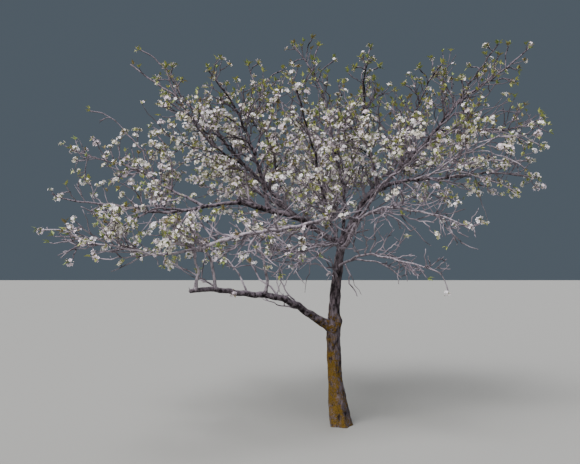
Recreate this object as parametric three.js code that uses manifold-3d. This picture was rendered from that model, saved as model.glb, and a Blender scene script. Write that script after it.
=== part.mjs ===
// A small spreading cherry tree in white blossom: one trunk, the boughs that leave it, and a mass of
// twigs, blossom and young leaves at the end of each bough.
// Millimetres, +Z up. The origin is on the ground under the middle of the trunk's foot, -Y faces the
// viewer and +X is to the viewer's right.

import * as THREE from "three";
import { mergeVertices } from "three/addons/utils/BufferGeometryUtils.js";
import Module from "manifold-3d";

const wasm = await Module();
wasm.setup();

// Driving dimensions
const CLEARANCE = 0.3; // gap between a piece and its neighbour
const GOLDEN_ANGLE = THREE.MathUtils.degToRad(137.5);

const TRUNK = {
  height: 1680,
  lean: 13, // how far the top stands to the right of the foot
  bow: 75, // how far the middle swings to the left
  // Height and width: flared at the foot, swollen under each fork and slimmer above it
  widths: [
    [0, 196], [200, 178], [420, 132], [750, 122], [880, 128],
    [1010, 102], [1300, 96], [1450, 82], [1680, 72],
  ],
  lobes: 5, // swellings over the roots
  lobeDepth: 0.13, // share of the radius at the ground
  lobeHeight: 260,
  sides: 15,
  rings: 13,
};

const BOUGH = {
  sides: 6,
  ringLength: 250,
  crook: 0.014, // how far a limb wanders, as a share of its length
  collar: 0.3, // swelling where it leaves its parent
  collarLength: 2.4, // in radii
  tipRadius: 4,
};

const TWIG = {
  spacing: 205, // along the stem of a mass
  splay: 54, // degrees from the stem
  splayRange: 16,
  lift: 0.36, // how much a twig turns up towards the light
  taper: 0.6, // how much shorter the last twig is than the first
  radius: 6,
  tipRadius: 3.6,
};

const CLUSTER = { radius: 78, flatness: 0.66, leafRoot: 0.5 }; // each stands for a spur's flowers
const LEAF = { length: 140, width: 58, thickness: 4 };
const SPUR_SUNK = 1; // how far the foot of a spur goes past the middle of its twig
const SPACE_MARGIN = 5; // every mass keeps this far inside its own share of the crown
const LIMB_MARGIN = 3;

// Repeatable chance: the same keys give the same number from 0 to 1
const CHANCE_STEPS = [12.9898, 78.233, 37.719, 94.673];

function chance(...keys) {
  const mixed = keys.reduce((sum, key, place) => sum + key * CHANCE_STEPS[place], 1);
  const noise = Math.sin(mixed) * 43758.5453;
  return noise - Math.floor(noise);
}

// A line through space: at(t) is its point and frame(t) the axes across it, for t from 0 to 1
class GrowthLine {
  constructor(at, side, level = false) {
    this.at = at;
    this.side = side;
    this.level = level; // the sections of a level line stay horizontal
  }

  tangent(t) {
    const step = 0.002;
    return this.level ? new THREE.Vector3(0, 0, 1) : this.at(t + step).sub(this.at(t - step)).normalize();
  }

  frame(t) {
    const tangent = this.tangent(t);
    const normal = this.side.clone().addScaledVector(tangent, -this.side.dot(tangent)).normalize();
    const binormal = normal.clone().cross(tangent);
    return { origin: this.at(t), tangent, normal, binormal };
  }
}

function trunkLine() {
  const at = (t) => {
    const x = TRUNK.lean * t - TRUNK.bow * 4 * t * (1 - t);
    return new THREE.Vector3(x, 0, TRUNK.height * t);
  };
  return new GrowthLine(at, new THREE.Vector3(1, 0, 0), true);
}

// A limb's line bends off its chord by an arch, upwards, and a sway, sideways, and wanders a little
function limbLine(start, tip, arch, sway, index) {
  const chord = tip.clone().sub(start);
  const along = chord.clone().normalize();
  const side = new THREE.Vector3(-along.y, along.x, 0).normalize();
  const rise = along.clone().cross(side);
  const crook = BOUGH.crook * chord.length();
  const at = (t) => {
    const window = 4 * t * (1 - t);
    const up = arch + crook * Math.sin(2 * Math.PI * (1.5 * t + chance(index, 1)));
    const across = sway + crook * Math.sin(2 * Math.PI * (1.9 * t + chance(index, 2)));
    return start.clone()
      .addScaledVector(chord, t)
      .addScaledVector(rise, window * up)
      .addScaledVector(side, window * across);
  };
  return new GrowthLine(at, side);
}

// Solids
function solidOf(geometry) {
  geometry.deleteAttribute("normal");
  geometry.deleteAttribute("uv");
  const merged = mergeVertices(geometry, 1e-3);
  const vertProperties = new Float32Array(merged.attributes.position.array);
  const triVerts = new Uint32Array(merged.index.array);
  return new wasm.Manifold(new wasm.Mesh({ numProp: 3, vertProperties, triVerts }));
}

function sweep(line, radiusAt, from, to, sides, rings) {
  const geometry = new THREE.CylinderGeometry(1, 1, 1, sides, rings);
  const position = geometry.attributes.position;
  for (let i = 0; i < position.count; i += 1) {
    const t = from + (to - from) * (position.getY(i) + 0.5);
    const { origin, normal, binormal } = line.frame(t);
    const across = position.getX(i);
    const over = position.getZ(i);
    const radius = radiusAt(t, Math.atan2(over, across));
    origin.addScaledVector(normal, across * radius).addScaledVector(binormal, over * radius);
    position.setXYZ(i, origin.x, origin.y, origin.z);
  }
  return solidOf(geometry);
}

function largestPiece(solid) {
  const pieces = solid.decompose();
  return pieces.reduce((best, piece) => (piece.volume() > best.volume() ? piece : best));
}

function meshOf(name, solid, material) {
  const { vertProperties, triVerts } = solid.getMesh();
  const geometry = new THREE.BufferGeometry();
  geometry.setAttribute("position", new THREE.BufferAttribute(vertProperties, 3));
  geometry.setIndex(new THREE.BufferAttribute(triVerts, 1));
  geometry.computeVertexNormals();
  const mesh = new THREE.Mesh(geometry, material);
  mesh.name = name;
  return mesh;
}

// Trunk: bowed, tapering in steps below each fork, with the roots' swellings running into its foot
function trunkRadius(t, angle) {
  const z = Math.max(0, t) * TRUNK.height;
  const next = TRUNK.widths.findIndex(([height]) => height >= z);
  const [highZ, highWidth] = TRUNK.widths.at(next);
  const [lowZ, lowWidth] = TRUNK.widths[Math.max(next < 0 ? TRUNK.widths.length - 1 : next - 1, 0)];
  const share = highZ > lowZ ? (z - lowZ) / (highZ - lowZ) : 0;
  const radius = THREE.MathUtils.lerp(lowWidth, highWidth, share) / 2;
  const swelling = TRUNK.lobeDepth * Math.exp(-z / TRUNK.lobeHeight);
  return radius * (1 + swelling * Math.cos(TRUNK.lobes * angle));
}

// Limbs: each leaves its parent at a share of the parent's length and runs to its tip. Its bough is
// bare for a share of the length, and the mass of blossom takes the rest.
const limbs = new Map();
limbs.set("trunk", { name: "trunk", line: trunkLine(), radiusAt: trunkRadius, length: TRUNK.height });

function limb(name, parentName, share, tip, { arch, sway, base, end = BOUGH.tipRadius, bare, twig }) {
  const parent = limbs.get(parentName);
  const index = limbs.size;
  const start = parent.line.at(share);
  const tipPoint = new THREE.Vector3(...tip);
  const line = limbLine(start, tipPoint, arch, sway, index);
  const length = start.distanceTo(tipPoint);
  const radiusAt = (t) => {
    const collar = BOUGH.collar * Math.exp((-t * length) / (BOUGH.collarLength * base));
    return THREE.MathUtils.lerp(base, end, t) * (1 + collar);
  };
  limbs.set(name, { name, parent, index, line, radiusAt, length, bare, twig });
}

// Lower left: a long low bough towards the viewer, with two limbs that rise from it
limb("low_left", "trunk", 0.53, [-1250, -950, 1290],
  { arch: 130, sway: -80, base: 40, end: 9, bare: 0.9, twig: 270 });
limb("low_left_inner", "low_left", 0.5, [-880, -460, 1850],
  { arch: 60, sway: 90, base: 15, bare: 0.23, twig: 420 });
limb("low_left_outer", "low_left", 0.85, [-1360, -1150, 1820],
  { arch: 140, sway: 0, base: 13, bare: 0.22, twig: 410 });

// Left: the thickest bough on this side and what it forks into
limb("left", "trunk", 0.985, [-950, -250, 2050],
  { arch: 60, sway: 10, base: 27, end: 20, bare: 1 });
limb("left_lower", "left", 0.97, [-2390, -640, 2050],
  { arch: -90, sway: 50, base: 17, bare: 0.27, twig: 460 });
limb("left_upper", "left_lower", 0.22, [-2530, 60, 2560],
  { arch: 40, sway: -90, base: 13, bare: 0.2, twig: 450 });
limb("left_rising", "left", 0.51, [-2030, 250, 3430],
  { arch: 90, sway: 60, base: 17, bare: 0.35, twig: 380 });
limb("left_rising_side", "left_rising", 0.3, [-1560, -400, 3210],
  { arch: -150, sway: 60, base: 10, bare: 0.22, twig: 350 });
limb("left_top", "left", 0.72, [-1160, -600, 3130],
  { arch: 160, sway: -60, base: 19, bare: 0.43, twig: 380 });
limb("left_top_side", "left_top", 0.38, [-870, 150, 3390],
  { arch: -80, sway: -90, base: 10, bare: 0.22, twig: 350 });

// Front: a short stem towards the viewer that carries the long lit bough across the crown
limb("front_stem", "trunk", 0.965, [150, -170, 1910],
  { arch: -60, sway: -40, base: 21, end: 18, bare: 1 });
limb("front_left", "front_stem", 0.95, [-1220, -1150, 1600],
  { arch: 80, sway: 260, base: 16, end: 11, bare: 1 });
limb("front_left_end", "front_left", 0.97, [-2020, -1450, 1720],
  { arch: -70, sway: 120, base: 11, bare: 0.2, twig: 460 });
limb("front_low", "trunk", 0.975, [-640, -900, 1520],
  { arch: 80, sway: 120, base: 14, bare: 0.3, twig: 420 });
limb("front_up", "front_left", 0.3, [-420, -1060, 2850],
  { arch: 120, sway: -70, base: 12, bare: 0.22, twig: 460 });
limb("front_right", "front_stem", 0.93, [620, -1330, 2420],
  { arch: 130, sway: 60, base: 14, bare: 0.24, twig: 490 });

// Right: the dark bough that divides again and again into the tall right side
limb("right", "trunk", 0.995, [440, 200, 2240],
  { arch: 90, sway: -60, base: 29, end: 24, bare: 1 });
limb("right_flat", "right", 0.97, [1910, 230, 2320],
  { arch: 60, sway: -50, base: 18, bare: 0.29, twig: 460 });
limb("right_middle", "right_flat", 0.24, [1260, -700, 2560],
  { arch: 20, sway: 40, base: 10, bare: 0.22, twig: 450 });
limb("right_rising", "right", 0.97, [1920, 350, 3630],
  { arch: 60, sway: -30, base: 20, bare: 0.57, twig: 380 });
limb("right_upper", "right_rising", 0.12, [970, 50, 3380],
  { arch: 100, sway: 60, base: 13, bare: 0.24, twig: 380 });
limb("right_far", "right_rising", 0.37, [1880, 0, 2840],
  { arch: -70, sway: 0, base: 11, bare: 0.2, twig: 410 });
limb("right_shoot", "right_rising", 0.52, [1430, -150, 3490],
  { arch: 20, sway: 10, base: 9, bare: 0.22, twig: 320 });
limb("centre_right", "right", 0.9, [200, -450, 3230],
  { arch: 200, sway: -120, base: 14, bare: 0.24, twig: 380 });
limb("right_low", "right", 0.14, [950, -900, 1780],
  { arch: 190, sway: -120, base: 15, bare: 0.27, twig: 460 });
limb("right_bottom", "trunk", 0.87, [760, -760, 1420],
  { arch: 120, sway: -140, base: 13, bare: 0.36, twig: 320 });

// Centre and back: the leader and the boughs away from the viewer that close the crown
limb("centre", "trunk", 0.98, [-430, 300, 3630],
  { arch: 260, sway: 120, base: 16, bare: 0.26, twig: 420 });
limb("back", "trunk", 0.95, [-140, 1880, 2480],
  { arch: 160, sway: 60, base: 21, bare: 0.4, twig: 490 });
limb("back_top", "back", 0.36, [300, 1240, 3330],
  { arch: 120, sway: 60, base: 12, bare: 0.22, twig: 450 });
limb("back_left", "left", 0.34, [-1380, 1420, 2460],
  { arch: 130, sway: 120, base: 16, bare: 0.26, twig: 490 });
limb("back_right", "right", 0.55, [1290, 1560, 2660],
  { arch: 120, sway: 80, base: 17, bare: 0.26, twig: 490 });

// Boughs: each is cut clear of the limbs that were there before it
function boughSolid(item, extraRadius) {
  const reach = extraRadius / item.length;
  const rings = Math.max(2, Math.round((item.bare * item.length) / BOUGH.ringLength));
  const radiusAt = (t) => item.radiusAt(t) + extraRadius;
  return sweep(item.line, radiusAt, -reach, item.bare + reach, BOUGH.sides, rings);
}

function trunkSolid(extraRadius) {
  const reach = extraRadius / TRUNK.height;
  const radiusAt = (t, angle) => trunkRadius(Math.min(Math.max(t, 0), 1), angle) + extraRadius;
  return sweep(limbs.get("trunk").line, radiusAt, -reach, 1 + reach, TRUNK.sides, TRUNK.rings);
}

function boughsOf() {
  const solids = new Map([["trunk", trunkSolid(0)]]);
  const grown = [trunkSolid(CLEARANCE)];
  for (const item of limbs.values()) {
    if (item.name !== "trunk") {
      const cut = wasm.Manifold.union(grown);
      solids.set(item.name, largestPiece(boughSolid(item, 0).subtract(cut)));
      grown.push(boughSolid(item, CLEARANCE));
    }
  }
  return solids;
}

// Space: the stretches of limbs, as short straight lines, that a twig has to keep away from
const STRETCHES = 10;

function stretchesOf(item, from, to) {
  const lines = [];
  for (let i = 0; i < STRETCHES; i += 1) {
    const start = THREE.MathUtils.lerp(from, to, i / STRETCHES);
    const end = THREE.MathUtils.lerp(from, to, (i + 1) / STRETCHES);
    const line = new THREE.Line3(item.line.at(start), item.line.at(end));
    lines.push({ line, radius: item.radiusAt(start, 0) });
  }
  return lines;
}

function distanceTo(stretches, point, useRadius) {
  const nearest = new THREE.Vector3();
  const distances = stretches.map(({ line, radius }) => {
    line.closestPointToPoint(point, true, nearest);
    return nearest.distanceTo(point) - (useRadius ? radius : 0);
  });
  return Math.min(...distances);
}

const bearing = [...limbs.values()].filter((item) => item.twig);
const hard = [...limbs.values()].map((item) => stretchesOf(item, 0, item.bare ?? 1));
const stems = new Map(bearing.map((item) => [item.name, stretchesOf(item, item.bare, 1)]));

function isFree(item, points) {
  return points.every((point) => {
    const own = distanceTo(stems.get(item.name), point, false);
    const inSpace = bearing.every((other) => (
      other === item || distanceTo(stems.get(other.name), point, false) > own + SPACE_MARGIN
    ));
    return inSpace && hard.every((stretches) => distanceTo(stretches, point, true) > LIMB_MARGIN);
  });
}

// Twigs, blossom and leaves
function stemOf(item) {
  const from = item.bare + CLEARANCE / item.length;
  const length = item.length * (1 - item.bare);
  const rings = Math.max(3, Math.round(length / BOUGH.ringLength));
  // The point of the stem's own straight stretches, so that what grows there touches its faces
  const pointAt = (t) => {
    const place = ((t - from) / (1 - from)) * rings;
    const low = Math.min(Math.floor(place), rings - 1);
    const at = (ring) => item.line.at(THREE.MathUtils.lerp(from, 1, ring / rings));
    return at(low).lerp(at(low + 1), place - low);
  };
  return { from, length, rings, pointAt };
}

function twigOf(item, stem, number, count) {
  const share = (number + 0.75) / count;
  const t = THREE.MathUtils.lerp(stem.from, 1, share);
  const { tangent, normal, binormal } = item.line.frame(t);
  const origin = stem.pointAt(t);
  const angle = number * GOLDEN_ANGLE + 2 * Math.PI * chance(item.index, 3);
  const outward = normal.multiplyScalar(Math.cos(angle)).addScaledVector(binormal, Math.sin(angle));
  const degrees = TWIG.splay + TWIG.splayRange * (chance(item.index, number, 4) - 0.5);
  const splay = THREE.MathUtils.degToRad(degrees);
  const heading = tangent.multiplyScalar(Math.cos(splay)).addScaledVector(outward, Math.sin(splay));
  heading.z += TWIG.lift;
  heading.normalize();
  const length = item.twig * (1 - TWIG.taper * share) * (0.75 + 0.5 * chance(item.index, number, 5));
  const at = (along) => origin.clone().addScaledVector(heading, length * along);
  const side = new THREE.Vector3(-heading.y, heading.x, 0).normalize();
  const base = Math.min(TWIG.radius, 0.9 * item.radiusAt(t));
  const radiusAt = (along) => THREE.MathUtils.lerp(base, TWIG.tipRadius, along);
  return { line: new GrowthLine(at, side), radiusAt };
}

function placed(geometry, point, direction, flatSide) {
  const across = flatSide.clone().cross(direction).normalize();
  const basis = new THREE.Matrix4().makeBasis(across, direction, across.clone().cross(direction));
  basis.setPosition(point);
  return geometry.applyMatrix4(basis);
}

function pointsOf(geometry) {
  const { position } = geometry.attributes;
  const points = [];
  for (let i = 0; i < position.count; i += 1) {
    points.push(new THREE.Vector3().fromBufferAttribute(position, i));
  }
  return points;
}

function clusterGeometry(point, direction, size) {
  const geometry = new THREE.SphereGeometry(CLUSTER.radius * size, 5, 2).scale(1, CLUSTER.flatness, 1);
  return placed(geometry, point, direction, new THREE.Vector3(0.6, 0.8, 0));
}

function leafGeometry(point, direction, size) {
  const half = (LEAF.length * size) / 2;
  const geometry = new THREE.OctahedronGeometry(1).scale((LEAF.width * size) / 2, half, LEAF.thickness / 2);
  geometry.translate(0, half, 0);
  return placed(geometry, point, direction, new THREE.Vector3(0.1, 0.2, 1).normalize());
}

// A direction out of a line at a point of it, leaning towards its tip
function outwardFrom({ tangent, normal, binormal }, turn, lean) {
  return tangent.clone().multiplyScalar(lean)
    .addScaledVector(normal, Math.cos(turn))
    .addScaledVector(binormal, Math.sin(turn))
    .normalize();
}

// At a tip: a cluster of blossom with a leaf that leaves its rim
function tipSpray(item, line, key) {
  const frame = line.frame(1);
  const size = 0.85 + 0.3 * chance(item.index, key, 6);
  const facing = frame.tangent.clone().add(new THREE.Vector3(0, 0, 0.7)).normalize();
  const direction = outwardFrom(frame, 2 * Math.PI * chance(item.index, key, 7), 0.6);
  const root = frame.origin.clone().addScaledVector(direction, CLUSTER.radius * size * CLUSTER.leafRoot);
  return [clusterGeometry(frame.origin, facing, size), leafGeometry(root, direction, size)];
}

// Beside a twig: a cluster on a spur, its foot sunk through the twig
function spurSpray(item, line, share, key) {
  const frame = line.frame(share);
  const size = 0.8 + 0.3 * chance(item.index, key, 6);
  const direction = outwardFrom(frame, 2 * Math.PI * chance(item.index, key, 7), 0.3);
  const height = CLUSTER.radius * size * CLUSTER.flatness;
  return [clusterGeometry(frame.origin.addScaledVector(direction, height - SPUR_SUNK), direction, size)];
}

function massSolid(item) {
  const stem = stemOf(item);
  const pieces = [sweep(item.line, item.radiusAt, stem.from, 1, 4, stem.rings)];
  const addFree = (geometries) => {
    pieces.push(...geometries.filter((geometry) => isFree(item, pointsOf(geometry))).map(solidOf));
  };
  const count = Math.max(2, Math.round(stem.length / TWIG.spacing));
  for (let number = 0; number < count; number += 1) {
    const { line, radiusAt } = twigOf(item, stem, number, count);
    if (isFree(item, [0.35, 0.6, 0.8, 1].map(line.at))) {
      pieces.push(sweep(line, radiusAt, 0, 1, 3, 1));
      addFree(tipSpray(item, line, number));
      addFree(spurSpray(item, line, 0.5, number + 100));
    }
  }
  addFree(tipSpray(item, item.line, 99));
  return largestPiece(wasm.Manifold.union(pieces).simplify(1));
}

// Assembly
const bark = (color) => new THREE.MeshStandardMaterial({ color, roughness: 0.92, metalness: 0 });
const blossom = (color) => new THREE.MeshStandardMaterial({ color, roughness: 0.8, metalness: 0 });

const tree = new THREE.Group();
tree.name = "cherry_tree";

for (const [name, solid] of boughsOf()) {
  const isTrunk = name === "trunk";
  tree.add(meshOf(isTrunk ? name : `${name}_bough`, solid, bark(isTrunk ? "#7d6748" : "#6b5d5a")));
}
for (const item of bearing) {
  tree.add(meshOf(`${item.name}_blossom`, massSolid(item), blossom("#e4e0d2")));
}

export default tree;
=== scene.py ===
import itertools
import math
from types import SimpleNamespace

import bpy
import numpy as np
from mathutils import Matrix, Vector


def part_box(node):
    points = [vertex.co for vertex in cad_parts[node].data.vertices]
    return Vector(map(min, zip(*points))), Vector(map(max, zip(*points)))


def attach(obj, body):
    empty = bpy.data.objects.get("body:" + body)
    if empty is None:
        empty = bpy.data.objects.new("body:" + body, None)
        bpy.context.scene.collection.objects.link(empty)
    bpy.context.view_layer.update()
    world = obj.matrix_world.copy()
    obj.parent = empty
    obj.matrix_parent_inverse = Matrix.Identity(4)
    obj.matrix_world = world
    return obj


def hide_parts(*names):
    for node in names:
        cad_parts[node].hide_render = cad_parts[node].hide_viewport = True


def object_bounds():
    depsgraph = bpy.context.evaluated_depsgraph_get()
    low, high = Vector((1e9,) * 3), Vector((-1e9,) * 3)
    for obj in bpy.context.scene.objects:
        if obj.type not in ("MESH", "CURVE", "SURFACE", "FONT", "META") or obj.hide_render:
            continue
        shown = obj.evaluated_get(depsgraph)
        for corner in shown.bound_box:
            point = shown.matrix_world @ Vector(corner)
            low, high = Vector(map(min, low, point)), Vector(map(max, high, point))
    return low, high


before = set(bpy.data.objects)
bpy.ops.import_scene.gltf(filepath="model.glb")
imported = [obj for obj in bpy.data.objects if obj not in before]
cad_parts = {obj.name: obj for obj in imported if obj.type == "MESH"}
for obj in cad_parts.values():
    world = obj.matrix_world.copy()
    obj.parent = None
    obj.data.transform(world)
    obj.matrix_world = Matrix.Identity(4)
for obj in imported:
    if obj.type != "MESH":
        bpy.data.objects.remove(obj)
cad_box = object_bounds()


# The trunk: the cherry's one living stem under rough, plated bark. It flares over its roots, bows to
# the left, swells under each fork and slims above it, and stands rooted on a flat cut at the ground.
# Ochre lichen covers most of its lower half, with bare grey and brown bark between the patches.

TRUNK_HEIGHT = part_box("trunk")[1][2]
TRUNK_LEAN = 0.013
TRUNK_BOW = 0.075
TRUNK_HEIGHTS = (0.0, 0.20, 0.42, 0.75, 0.88, 1.01, 1.30, 1.45, 1.68)
TRUNK_WIDTHS = (0.196, 0.178, 0.132, 0.122, 0.128, 0.102, 0.096, 0.082, 0.072)
ROOT_LOBES = 5
ROOT_LOBE_DEPTH = 0.13
ROOT_LOBE_HEIGHT = 0.26
UP = np.array((0.0, 0.0, 1.0))


def chance(*keys):
    """The same number from 0 to 1 for the same keys: the fraction of a large sine of their sum."""
    steps = (12.9898, 78.233, 37.719, 94.673)
    mixed = 1 + sum(key * step for key, step in zip(keys, steps))
    noise = np.sin(mixed) * 43758.5453
    return noise - np.floor(noise)


def unit(vectors):
    """Each vector divided by its length."""
    return vectors / np.linalg.norm(vectors, axis=-1, keepdims=True)


def dot(first, second):
    """The scalar product of vectors in pairs, kept as a column."""
    return np.sum(first * second, axis=-1, keepdims=True)


def roughness_of(points, grain, seed):
    """From -1 to 1: chance at the corners of a lattice of that grain, blended smoothly in between."""
    place = points / grain
    low = np.floor(place)
    part = place - low
    part = part * part * (3 - 2 * part)
    total = np.zeros(points.shape[:-1])
    for corner in itertools.product((0, 1), repeat=3):
        weight = np.prod(np.where(corner, part, 1 - part), axis=-1)
        keys = low + corner
        total = total + weight * chance(keys[..., 0], keys[..., 1], keys[..., 2], seed)
    return 2 * total - 1


def copied(points, faces):
    """Rows of points as one list, with the same faces on each row, numbered past the rows before."""
    shift = np.arange(len(points))[:, None, None] * points.shape[1]
    return points.reshape(-1, 3), (faces + shift).reshape(-1, 3)


def turned(first, second, angle):
    """The first axis times the angle's cosine plus the second times its sine."""
    return first * np.cos(angle)[..., None] + second * np.sin(angle)[..., None]


def axes_across(side, tangent):
    """Two axes across each tangent: the side vector made square to it, and their cross product."""
    side = side + 0 * tangent
    normal = unit(side - dot(side, tangent) * tangent)
    return normal, np.cross(normal, tangent)


def carried_rings(centres, across, radii, sides, level=False):
    """A ring carried along each path: path point plus radius times cosine and sine of the turn along
    the two axes across the path's tangent, which differences along it give, or upright for level
    rings. Fans close both ends. Returns points and outward triangles."""
    paths, rings = centres.shape[:2]
    tangent = UP + 0 * centres if level else unit(np.gradient(centres, axis=1))
    normal, binormal = axes_across(across[:, None], tangent)
    turn = np.arange(sides) * 2 * np.pi / sides
    outward = turned(normal[:, :, None], binormal[:, :, None], turn)
    skin = centres[:, :, None] + outward * radii[..., None]
    points = np.concatenate((skin.reshape(paths, -1, 3), centres[:, [0, -1]]), axis=1)
    first = np.arange(sides)
    second = (first + 1) % sides
    here = np.arange(rings - 1)[:, None] * sides + first
    beside = np.arange(rings - 1)[:, None] * sides + second
    wall = np.stack((here, here + sides, beside + sides, here, beside + sides, beside), axis=-1)
    last = (rings - 1) * sides
    base_fan = np.stack((first * 0 + rings * sides, first, second), axis=-1)
    end_fan = np.stack((first * 0 + rings * sides + 1, second + last, first + last), axis=-1)
    return copied(points, np.concatenate((wall.reshape(-1, 3), base_fan, end_fan)))


def put_in_scene(name, data):
    """An object with that name and data, linked to the scene."""
    made = bpy.data.objects.new(name, data)
    bpy.context.scene.collection.objects.link(made)
    return made


blossom_nodes = [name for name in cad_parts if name.endswith("_blossom")]


def make_piece(name, shape, material, nodes=blossom_nodes, smooth=True):
    """One mesh of points and triangles, riding on the tree and standing for the CAD nodes."""
    points, triangles = shape
    mesh = bpy.data.meshes.new(name)
    mesh.vertices.add(len(points))
    mesh.vertices.foreach_set("co", np.ascontiguousarray(points, dtype=np.float32).ravel())
    mesh.loops.add(triangles.size)
    mesh.loops.foreach_set("vertex_index", np.ascontiguousarray(triangles, dtype=np.int32).ravel())
    mesh.polygons.add(len(triangles))
    mesh.polygons.foreach_set("loop_start", np.arange(0, triangles.size, 3, dtype=np.int32))
    mesh.polygons.foreach_set("use_smooth", np.full(len(triangles), smooth))
    mesh.update(calc_edges=True)
    mesh.validate()
    mesh.materials.append(material)
    piece = put_in_scene(name, mesh)
    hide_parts(*nodes)
    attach(piece, "root")


def linear(hex_colour):
    """An sRGB hex value as the linear RGBA that the shaders take."""
    parts = [int(hex_colour[i:i + 2], 16) / 255 for i in (1, 3, 5)]
    return [p / 12.92 if p <= 0.04045 else ((p + 0.055) / 1.055) ** 2.4 for p in parts] + [1.0]


def feed(tree, node, inputs):
    """Gives a node its inputs. Each is a value, or the socket that feeds it."""
    for key, value in inputs.items():
        if isinstance(value, bpy.types.NodeSocket):
            tree.links.new(value, node.inputs[key])
        else:
            node.inputs[key].default_value = value


def add_node(tree, kind, inputs=None, **settings):
    """Adds a shader node of that kind with its settings and inputs."""
    made = tree.nodes.new("ShaderNode" + kind)
    for key, value in settings.items():
        setattr(made, key, value)
    feed(tree, made, inputs or {})
    return made


def place_in(tree):
    """The place of the skin being shaded, in metres."""
    return add_node(tree, "TexCoord").outputs["Object"]


def noise(tree, place, grain, detail, roughness=0.5):
    """Soft noise from 0 to 1, its lumps about as wide as the grain."""
    return add_node(tree, "TexNoise", {"Vector": place, "Scale": 1 / grain, "Detail": detail,
                                       "Roughness": roughness}).outputs["Fac"]


def ranged(tree, value, low, high, to_low=0, to_high=1):
    """The value carried in a straight line from one range to another, and kept within that."""
    return add_node(tree, "MapRange", {"Value": value, "From Min": low, "From Max": high,
                                       "To Min": to_low, "To Max": to_high}).outputs[0]


def plus(tree, first, second):
    """The first number plus the second."""
    return add_node(tree, "Math", {0: first, 1: second}).outputs[0]


def measured(tree, operation, first, second=(0, 0, 0)):
    """The number that the operation gives for one vector or two."""
    return add_node(tree, "VectorMath", {0: first, 1: second}, operation=operation).outputs["Value"]


def blend(tree, share, first, second):
    """The first colour giving way to the second as the share rises. Each is a hex value or a socket."""
    colours = [linear(one) if isinstance(one, str) else one for one in (first, second)]
    return add_node(tree, "Mix", {0: share, 6: colours[0], 7: colours[1]},
                    data_type="RGBA").outputs[2]


def bump(tree, height, strength, depth):
    """A relief that bends the light: the height times the depth, by the strength."""
    return add_node(tree, "Bump", {"Height": height, "Strength": strength,
                                   "Distance": depth}).outputs[0]


def new_material(name):
    """An empty node material: itself, its tree and its principled shader, joined to the output."""
    material = bpy.data.materials.new(name)
    material.use_nodes = True
    return material, material.node_tree, material.node_tree.nodes["Principled BSDF"]


LICHEN = ("#42330f", "#7a5d1b")
PLATE_WIDTH = 0.024
CRUST_WIDTH = 0.034
GRIT_WIDTH = 0.007
YOUNGER_FROM, YOUNGEST_FROM = 0.8, 2.0  # distances from the trunk's axis


def bark(name, dark, light, cover_at, stretch):
    """Old cherry bark: corky plates a few centimetres wide with darker furrows between them, paler
    where it faces up, which is painted light from above, paler far out, where it is younger, and
    crusts of ochre lichen in patches. The stretch draws the plates out upright. It gives a dry,
    matt, patchy skin. cover_at builds the nodes for how much more than half of the skin the lichen
    covers."""
    material, tree, shader = new_material(name)
    place = place_in(tree)
    upright = add_node(tree, "Mapping", {"Vector": place, "Scale": (1, 1, 1 / stretch)})
    plates = noise(tree, upright.outputs[0], PLATE_WIDTH, 5, 0.65)
    normal = add_node(tree, "NewGeometry").outputs["Normal"]
    # painted light: the skin is made paler where it faces up, as though lit from above
    painted_top_light = measured(tree, "DOT_PRODUCT", normal, (0, 0, 0.09))
    level = add_node(tree, "VectorMath", {0: place, 1: (1, 1, 0)}, operation="MULTIPLY")
    outwards = measured(tree, "LENGTH", level.outputs["Vector"])
    younger = ranged(tree, outwards, YOUNGER_FROM, YOUNGEST_FROM, 0, 0.1)
    plates_age_and_top_light = plus(tree, plates, plus(tree, painted_top_light, younger))
    skin = blend(tree, ranged(tree, plates_age_and_top_light, 0.4, 0.62), dark, light)
    crusts = noise(tree, place, CRUST_WIDTH, 6, 0.8)
    patches = ranged(tree, plus(tree, crusts, cover_at(tree, place)), 0.5, 0.58)
    grit = noise(tree, place, GRIT_WIDTH, 4)
    crust = blend(tree, ranged(tree, grit, 0.35, 0.65), *LICHEN)
    feed(tree, shader, {"Base Color": blend(tree, patches, skin, crust), "Roughness": 0.92,
                        "Specular IOR Level": 0.25,
                        "Normal": bump(tree, plus(tree, plates, grit), 1.0, 0.008)})
    return material


KNOB = (0.0, -0.02, 0.965)  # the swollen stump of a lost bough, across from the lowest one


def trunk_cover(tree, place):
    """Lichen on the trunk thins out above waist height, favours the damp side, to the front left, is
    thick on the knob and leaves bare blotches a hand wide."""
    height = add_node(tree, "SeparateXYZ", {0: place}).outputs["Z"]
    fade = ranged(tree, height, 0.55, 1.35, 0.045, -0.2)
    normal = add_node(tree, "NewGeometry").outputs["Normal"]
    facing = measured(tree, "DOT_PRODUCT", normal, (-0.075, -0.03, 0))
    on_knob = ranged(tree, measured(tree, "DISTANCE", place, KNOB), 0.03, 0.12, 0.14, 0)
    bare = ranged(tree, noise(tree, place, 0.085, 2), 0.35, 0.6, -0.07, 0.03)
    return plus(tree, plus(tree, plus(tree, fade, facing), bare), on_knob)


def trunk_at(t):
    """The trunk's middle at a share of its height: a straight lean less a parabola's bow."""
    x = TRUNK_LEAN * t - TRUNK_BOW * 4 * t * (1 - t)
    return np.stack((x, 0 * t, TRUNK_HEIGHT * t), axis=-1)


def swelling(points, middle, reach, rise):
    """A bell curve of that height round a middle point, a hollow where the height is negative."""
    away = np.sum((points - np.array(middle)) ** 2, axis=-1)
    return rise * np.exp(-away / reach ** 2)


TRUNK_RINGS = 280
TRUNK_SIDES = 112
CROWN_OF_TRUNK = 0.022
FURROW_STRETCH = 0.3  # heights are read this much shorter, which draws the furrows out upright
SWELLINGS = (  # middle, reach and height
    (KNOB, 0.060, 0.034),
    ((-0.06, -0.06, 0.97), 0.022, -0.010),  # the hollow beside the knob
    ((-0.12, -0.05, 0.63), 0.020, 0.007),  # a healed pruning scar
    ((-0.03, -0.06, 0.36), 0.035, 0.008),
)

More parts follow.
